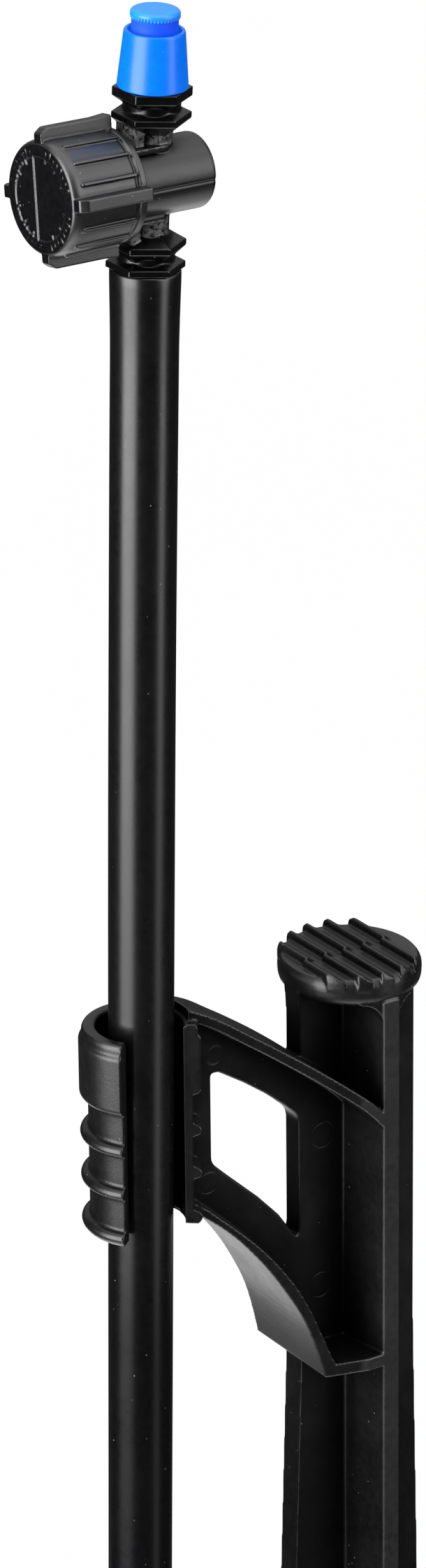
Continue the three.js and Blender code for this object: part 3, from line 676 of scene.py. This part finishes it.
def knob():
    face, back = KNOB_FACE, KNOB_BACK
    # radius, place along the barrel
    profile = [
        (0, back), (6.6, back), (6.62, back + 0.1), (6.62, back + 0.8), (6.3, back + 1.0),
        (6.3, back + 1.35), (6.62, back + 1.55), (6.64, face - 6.0), (6.7, face - 3.0),
        (6.74, face - 1.4), (6.72, face - 0.9), (6.62, face - 0.5), (6.42, face - 0.22),
        (6.2, face - 0.1), (5.7, face - 0.06), (5.2, face - 0.02), (4.9, face - 0.02),
        (4.8, face - 0.14), (0, face - 0.14),
    ]
    # x, radius, corner radius
    ear = rounded([
        (-back - 0.3, 5.6, 0), (-back - 0.3, EAR_R + 0.15, 0.3), (-back - 2.4, EAR_R - 0.05, 1.0),
        (-face + 1.1, EAR_R - 0.05, 0.7), (-face + 0.2, 7.45, 0.5), (-face + 0.2, 5.6, 0)])
    rib = rounded([
        (-back - 1.3, 6.1, 0), (-back - 1.3, KNOB_R + 0.22, 0.1),
        (-face + 1.35, KNOB_R + 0.26, 0.5), (-face + 1.35, 6.1, 0)], 4)
    parts = [lathe(profile, 192, CROSS)]
    for i in range(4):
        angle = EAR_PHASE + 90 * i
        parts.append(radial(ear, -EAR_WIDTH / 2, EAR_WIDTH / 2, angle))
        parts += [radial(rib, -0.2, 0.2, angle + turn) for turn in (18.5, 40.5, 62.5)]
    # fin across the end face
    fin = [(-face + 0.5, -5.0), (-face + 0.5, 5.0), (-face - 0.02, 5.0), (-face - 0.02, -5.0)]
    parts.append(radial(fin, 0.95, 1.17, EAR_PHASE + 90))
    # graduation marks round the rim, with gaps in line with the ears
    for k in range(KNOB_MARKS):
        if k % 11 in (0, 1, 10):
            continue
        r0, r1 = ((4.35, 5.75), (4.75, 5.6), (4.9, 5.95))[k % 3]
        mark = [(-face + 0.4, r0), (-face + 0.4, r1), (-face - 0.02, r1), (-face - 0.02, r0)]
        parts.append(radial(mark, -0.085, 0.085, EAR_PHASE + 360 / KNOB_MARKS * k))
    # round hollow and the square socket for the plug's key
    cuts = [rod(5.0, back - 2, 12.7, 128, CROSS),
            box(-13.75, -12, -1.12, 1.12, BARREL_Z - 1.12, BARREL_Z + 1.12)]
    piece("knob", melt(parts, 0.08, cuts, smooth=2, keep=0.32), HEAD, "knob",
          MAT_KNOB)


# ---------------------------------------------------------------- nozzle
def nozzle_body():
    base, rim = NOZZLE_BASE, NOZZLE_RIM
    # radius, z, corner radius
    profile = rounded([
        (2.37, base, 0.06), (4.1, base, 0.16), (4.1, base + 0.2, 0.1), (3.55, rim - 0.3, 0.2),
        (3.47, rim, 0.2), (3.12, rim, 0.14), (3.02, rim - 0.2, 0.05), (2.95, rim - 0.75, 0.12),
        (1.55, rim - 0.75, 0.08), (1.55, 26.9, 0.1), (1.75, 26.45, 0.1), (2.37, 26.45, 0.1)])
    piece("nozzle_body", mesh_of(lathe(profile + [profile[0]], 192)), HEAD, "valve",
          MAT_NOZZLE, 40)


def serration(r, angle, z):
    """Fine teeth round the lower edge of the cap, fading out upwards."""
    if r < 2.75 or z > CAP_EDGE + 0.75:
        return r
    fading = max(0.0, 1 - (z - CAP_EDGE - 0.2) / 0.3)
    strength = 1.0 if z <= CAP_EDGE + 0.2 else fading
    wave = 0.5 + 0.5 * math.cos(CAP_TEETH * angle)
    return r - 0.17 * strength * wave ** 1.5


def nozzle_cap():
    # radius, z of the underside, from the axis out to the grip's lower edge
    profile = [
        (0, 26.7), (1.15, 26.7), (1.32, 26.78), (1.38, 26.95), (1.38, 28.0), (1.34, 28.05),
        (1.05, 28.1), (1.05, 28.8), (1.34, 28.85), (1.42, 28.9), (1.5, 28.95), (2.05, 28.95),
        (2.1, 28.9), (2.1, 28.25), (2.16, 28.17), (2.6, 28.15), (2.68, 28.2), (2.7, 28.28),
        (2.7, CAP_EDGE - 0.02), (2.72, CAP_EDGE + 0.01), (2.56, CAP_EDGE),
        (CAP_R - 0.12, CAP_EDGE), (CAP_R - 0.03, CAP_EDGE + 0.05),
    ]
    profile += [(CAP_R, CAP_EDGE + up) for up in (0.1, 0.18, 0.26, 0.34, 0.42, 0.5, 0.58)]
    # inset, depth below the top
    shoulder = [(0.01, 0.38), (0.035, 0.3), (0.09, 0.23), (0.18, 0.13), (0.32, 0.05),
                (0.5, 0.012), (0.75, 0), (1.5, 0)]
    profile += [(CAP_R - inset, CAP_TOP - depth) for inset, depth in shoulder] + [(0, CAP_TOP)]
    piece("nozzle_cap", mesh_of(lathe(profile, CAP_TEETH * 8, None, serration)), HEAD, "cap",
          MAT_CAP, 60)
    piece("cap_oring", mesh_of(torus(1.38, 0.3, 28.45)), HEAD, "cap_seal",
          MAT_RUBBER)


# ---------------------------------------------------------------- stake
def spike_parts():
    """Crossed web and fin, tapering to the tip."""
    x, half = STAKE_X, WEB_THICK / 2
    # distance from the stake's axis, z
    outline = [
        (-WEB_HALF, 1.0), (-9.9, -36), (-10.1, -58), (-9.2, -80), (-0.6, TIP_Z),
        (0.6, TIP_Z), (9.0, -80), (9.75, -58), (9.45, -36), (WEB_HALF, 1.0)]
    web = prism([(x + dx, z) for dx, z in outline], -half, half, "Y")
    fin = prism([
        (x - FIN_TIP, -FIN_Y), (x + FIN_TIP, -FIN_Y), (x + FIN_ROOT, -half), (x + FIN_ROOT, half),
        (x + FIN_TIP, FIN_Y), (x - FIN_TIP, FIN_Y), (x - FIN_ROOT, half), (x - FIN_ROOT, -half),
    ], TIP_Z, 50.6)
    taper = lathe([
        (0, TIP_Z - 1), (0.9, TIP_Z - 1), (0.9, TIP_Z), (1.3, TIP_Z + 1.6), (10.2, -76),
        (10.6, -60), (10.6, 52), (0, 52)], 96, STAKE_AXIS)
    return [
        boolean(web, taper, "INTERSECT"),
        box(x - WEB_HALF + 0.03, x, -ARM_THICK / 2, ARM_THICK / 2, 0.5, 49.5),
        box(x - 1.0, x + WEB_HALF, -half, half, 0.5, 49.5),
        boolean(fin, taper, "INTERSECT"),
    ]


def plate_parts():
    """Round plate on top of the stake, the fillets under it and the teeth on it."""
    x, top = STAKE_X, PLATE_TOP
    parts = [lathe([
        (0, 50.25), (7.7, 50.25), (8.35, 50.4), (8.75, 50.85), (8.9, 51.4), (PLATE_R, 52.2),
        (PLATE_R - 0.03, 52.8), (PLATE_R - 0.2, 53.25), (PLATE_R - 0.6, top), (0, top),
    ], 128, STAKE_AXIS)]
    parts.append(prism([(x - WEB_HALF, 48.0), (x - 8.9, 51.2), (x, 51.2), (x, 48.0)],
                       -ARM_THICK / 2, ARM_THICK / 2, "Y"))
    parts.append(prism([(x - 1.0, 48.0), (x - 1.0, 51.2), (x + 8.9, 51.2), (x + WEB_HALF, 48.0)],
                       -WEB_THICK / 2, WEB_THICK / 2, "Y"))
    for side in (-1, 1):
        fillet = [(x - side * 1.0, 50.6), (x + side * (FIN_TIP + 2.9), 50.6)]
        for i in range(9):
            t = i / 8 * math.pi / 2
            out = FIN_TIP + 0.05 + FILLET_R * (1 - math.sin(t))
            fillet.append((x + side * out, 50.35 - FILLET_R * (1 - math.cos(t))))
        fillet.append((x - side * 1.0, 47.75))
        limit = rod(8.75, 40, 51.5, 96, STAKE_AXIS)
        parts.append(boolean(prism(fillet, -9.2, 9.2, "Y"), limit, "INTERSECT"))

    limit = lathe([(0, 52.0), (8.9, 52.0), (9.02, 52.6), (9.02, top - 0.1), (8.9, top + 0.35),
                   (8.55, top + 0.9), (0, top + 0.9)], 96, STAKE_AXIS)
    # x from the tooth's middle, height above the plate
    crest = ((-0.46, 0.5), (-0.3, 0.76), (-0.05, 0.84), (0.2, 0.72), (0.42, 0.46),
             (0.66, 0.22), (1.0, 0.06), (1.2, -0.05))
    # the front and back rows are staggered
    for y0, y1, shift in ((-9.6, -0.1, -0.3), (0.1, 9.6, 0.22)):
        for i in range(-2, 3):
            mid = x - 0.58 + 2.93 * i + shift
            tooth = [(mid - 0.5, 51.0), (mid - 0.5, top)]
            tooth += [(mid + dx, top + dz) for dx, dz in crest]
            tooth += [(mid + 1.2, top - 0.4), (mid + 0.7, 51.0)]
            parts.append(boolean(prism(tooth, y0, y1, "Y"), limit, "INTERSECT"))
    return parts


def arm_parts():
    """Webbed arm from the stake to the clip, with a window and a flange on each edge."""
    # x, z along the arm's top edge, its bottom edge and the lower flange's upper face
    top = curve([
        (4.6, 54.0), (6.9, 53.0), (9.7, 51.45), (13.2, 49.0), (16.2, 46.9), (21.8, 42.75),
        (28.0, 37.7), (31.0, 34.5)], 28)
    bottom = curve([
        (4.6, 26.6), (7.0, 25.1), (10.75, 21.8), (14.4, 17.3), (17.1, 13.1), (19.45, 8.7),
        (21.0, 4.4), (22.2, 0.0)], 28)
    lower_face = curve([
        (23.1, 2.75), (21.6, 6.75), (20.1, 10.5), (17.8, 14.75), (14.05, 19.75), (8.1, 25.6),
        (5.6, 27.6)], 26)
    plan = prism([
        (4.6, -ARM_NOSE_Y), (27.69, -FIN_Y), (STAKE_X, -FIN_Y), (STAKE_X, FIN_Y),
        (27.69, FIN_Y), (4.6, ARM_NOSE_Y)], -1, 60)
    upper = prism(top + offset_line(top, 1.35)[::-1], -FIN_Y, FIN_Y, "Y")
    lower = prism(bottom + [(24.2, 0.0), (23.6, 1.7)] + lower_face, -FIN_Y, FIN_Y, "Y")
    foot = box(22.2, STAKE_X, -FIN_Y, FIN_Y, 0, 1.65)
    web = prism(top + [(31.0, 0.5)] + bottom[::-1], -ARM_THICK / 2, ARM_THICK / 2, "Y")
    # x, z, corner radius
    window = rounded([
        (9.35, 31.3, 2.2), (9.35, 43.6, 1.3), (10.6, 43.4, 0.8), (14.33, 40.95, 0),
        (17.45, 38.65, 0), (20.07, 36.45, 0), (22.5, 34.15, 2.6), (22.5, 16.7, 0.6),
        (19.4, 21.3, 0), (16.26, 24.7, 0), (11.6, 29.1, 2.0)])
    web = boolean(web, prism(window, -3, 3, "Y"))
    core = rod(CLIP_WALL - 0.5, 20, 60, 96)  # keeps the arm out of the clip
    parts = [boolean(boolean(flange, plan, "INTERSECT"), core) for flange in (upper, lower)]
    return parts + [boolean(foot, plan, "INTERSECT"), boolean(web, core)]


def clip_parts():
    """Ribbed clip round the riser, open to the front, with upright beads inside."""
    # z from the rib's middle, height above the wall
    rib = [(-0.85, 0), (-0.75, 0.5), (-0.42, 0.92), (0, 1.05), (0.42, 0.92), (0.75, 0.5), (0.85, 0)]
    lowest, *others = [[(CLIP_WALL + h, z + dz) for dz, h in rib] for z in CLIP_RIBS]
    # the lowest rib starts at the clip's bottom edge
    profile = [(CLIP_IN, CLIP_BOTTOM), (CLIP_OUT - 0.55, CLIP_BOTTOM)] + lowest[2:]
    for points in others:
        profile += points
    profile += [
        (CLIP_WALL, CLIP_BAND - 0.35), (CLIP_OUT - 0.35, CLIP_BAND - 0.1),
        (CLIP_OUT, CLIP_BAND + 0.4), (CLIP_OUT, 50.5), (CLIP_OUT - 0.1, 50.75),
        (CLIP_OUT - 0.36, 50.9), (CLIP_OUT - 0.38, CLIP_TOP - 0.5),
        (CLIP_OUT - 0.55, CLIP_TOP - 0.12), (CLIP_OUT - 0.8, CLIP_TOP),
        (CLIP_IN + 0.3, CLIP_TOP), (CLIP_IN, CLIP_TOP - 0.25), (CLIP_IN, CLIP_BOTTOM)]
    across, along = 14 * math.sin(rad(CLIP_OPEN)), -14 * math.cos(rad(CLIP_OPEN))
    gap = [(0, 0), (-across, along), (-14, -16), (14, -16), (across, along)]
    parts = [boolean(lathe(profile, 192), prism(gap, 20, 56))]
    bead = [(0, CLIP_BOTTOM + 0.6), (0.5, CLIP_BOTTOM + 0.6), (0.5, CLIP_TOP - 1.9),
            (0.3, CLIP_TOP - 1.5), (0, CLIP_TOP - 1.4)]
    for angle in (0, 60, 120, 180):
        at = Matrix.Rotation(rad(angle), 4, "Z") @ Matrix.Translation((CLIP_IN + 0.05, 0, 0))
        parts.append(lathe(bead, 20, at))
    return parts


def stake():
    parts = spike_parts() + plate_parts() + arm_parts() + clip_parts()
    piece("stake", melt(parts, 0.155, smooth=3, keep=0.17), STAKE_LEAN, "stake",
          MAT_STAKE)


# ---------------------------------------------------------------- floor, camera, light
CAMERA_YAW = rad(-34.725)


def pale_floor():
    """Plain white floor that only the camera sees."""
    material = bpy.data.materials.new("pale_floor")
    net = Net(material)
    mottle = net.noise(net.coords(), scale=3.0, detail=2.0)
    colour = net.mix(mottle, (0.99, 0.99, 0.99, 1), (1, 1, 1, 1))
    emission = net.add("ShaderNodeEmission", {"Color": colour, "Strength": 1.0})
    net.add("ShaderNodeOutputMaterial", {"Surface": emission.outputs[0]})
    mesh = mesh_of(([(-6, -6, 0), (6, -6, 0), (6, 6, 0), (-6, 6, 0)], [(0, 1, 2, 3)]))
    floor = bpy.data.objects.new("floor", mesh)
    floor.location = (0, 0, -0.002)
    bpy.context.scene.collection.objects.link(floor)
    mesh.materials.append(material)
    for ray in ("glossy", "diffuse", "shadow", "transmission"):
        setattr(floor, "visible_" + ray, False)


def camera():
    pitch, roll = rad(23.2), rad(0.378)
    forward = -Vector((math.sin(CAMERA_YAW) * math.cos(pitch),
                       -math.cos(CAMERA_YAW) * math.cos(pitch), math.sin(pitch)))
    level = forward.cross(Vector((0, 0, 1))).normalized()
    upright = level.cross(forward)
    right = math.cos(roll) * level + math.sin(roll) * upright
    up = -math.sin(roll) * level + math.cos(roll) * upright
    cam = bpy.data.objects.new("camera", bpy.data.cameras.new("camera"))
    cam.data.sensor_width = 36
    cam.data.sensor_fit = "AUTO"
    cam.data.lens = 141.2394115
    cam.data.clip_start, cam.data.clip_end = 0.01, 40
    pose = Matrix((right, up, -forward)).transposed().to_4x4()
    pose.translation = (-0.41026, -0.556834, 0.501613)
    cam.matrix_world = pose
    bpy.context.scene.collection.objects.link(cam)
    bpy.context.scene.camera = cam


def studio_world():
    """Soft light panels all round; the camera itself sees plain white."""
    world = bpy.data.worlds.new("studio")
    bpy.context.scene.world = world
    net = Net(world)
    x, y, z = net.split(net.mapped(net.coords("Generated"), Rotation=(0, 0, -CAMERA_YAW)))
    # degrees: azimuth from the camera's side towards its right, elevation from the horizon
    azimuth = net.times(net.math("ARCTAN2", x, net.times(y, -1.0)), 180 / math.pi)
    elevation = net.times(net.math("ARCSINE", z), 180 / math.pi)

    def panel(across, upward, power):
        """Each span is (rise from, rise to, fall from, fall to)."""
        area = net.times(net.window(azimuth, *across), net.window(elevation, *upward))
        return net.times(area, power)

    def behind(upward, power):
        return net.times(net.times(far_side, net.window(elevation, *upward)), power)

    far_side = net.step(net.math("ABSOLUTE", azimuth), 128.0, 150.0)
    total = panel((-80, -66, -36, -20), (-25.5, -21.0, 36, 60), power=9.9)
    for light in (
        panel((44, 56, 72, 86), (-15, 2, 30, 50), power=3.0),
        panel((40, 60, 100, 120), (-4, 12, 60, 75), power=1.7),
        net.times(net.step(elevation, 40.0, 62.0), 2.3),  # overhead
        net.times(net.fade(elevation, -68.0, -44.0), 2.6),  # from below
        behind((4, 14, 42, 60), power=0.6),
        behind((-70, -56, -38, -31), power=1.4),
        0.035,  # everywhere
    ):
        total = net.plus(total, light)
    white = (1, 1, 1, 1)
    lit = net.add("ShaderNodeBackground", {"Color": white, "Strength": total})
    seen = net.add("ShaderNodeBackground", {"Color": white, "Strength": 1.0})
    mixed = net.add("ShaderNodeMixShader", {
        0: net.add("ShaderNodeLightPath").outputs["Is Camera Ray"],
        1: lit.outputs[0], 2: seen.outputs[0]})
    net.add("ShaderNodeOutputWorld", {"Surface": mixed.outputs[0]})


def receivers(name, nodes):
    collection = bpy.data.collections.new(name)
    for node in nodes:
        collection.objects.link(bpy.data.objects["vis_" + node])
    return collection


def area_light(name, azimuth, mid_z, height, energy, elevation, reaches):
    """Panel 0.55 m from the riser, lighting only one collection; angles in degrees."""
    light = bpy.data.objects.new(name, bpy.data.lights.new(name, "AREA"))
    light.data.shape = "RECTANGLE"
    light.data.size, light.data.size_y = 0.19, height
    light.data.energy = energy
    bpy.context.scene.collection.objects.link(light)
    side, rise = rad(azimuth), rad(elevation)
    way = Matrix.Rotation(CAMERA_YAW, 3, "Z") @ Vector((
        math.sin(side) * math.cos(rise), -math.cos(side) * math.cos(rise), math.sin(rise)))
    light.location = Vector((-0.0347, 0, mid_z)) + way * 0.55
    light.rotation_euler = way.to_track_quat("Z", "Y").to_euler()
    light.visible_camera = False
    light.light_linking.receiver_collection = reaches


def side_lights():
    """Narrow lights for the round upright pieces, and a low one for the valve body."""
    upright = receivers("lit_by_strip", ("riser_tube", "nozzle_body", "nozzle_cap"))
    valve = receivers("lit_from_below", ("valve_body",))
    area_light("strip_high", azimuth=66, mid_z=0.125, height=0.26, energy=0.48, elevation=0.0,
               reaches=upright)
    area_light("strip_low", azimuth=60, mid_z=-0.195, height=0.34, energy=0.2, elevation=0.0,
               reaches=upright)
    area_light("low_light", azimuth=92, mid_z=0.289, height=0.19, energy=0.13, elevation=-50.0,
               reaches=valve)


# ---------------------------------------------------------------- build
for build in (riser_tube, inlet_barb, valve_body, valve_plug, knob, nozzle_body, nozzle_cap, stake):
    build()
bpy.data.collections.remove(work)
pale_floor()
camera()
studio_world()
side_lights()

view = bpy.context.scene.view_settings
view.view_transform = "Standard"
view.look = "None"
view.exposure, view.gamma = 0.0, 1.0

bpy.context.view_layer.update()
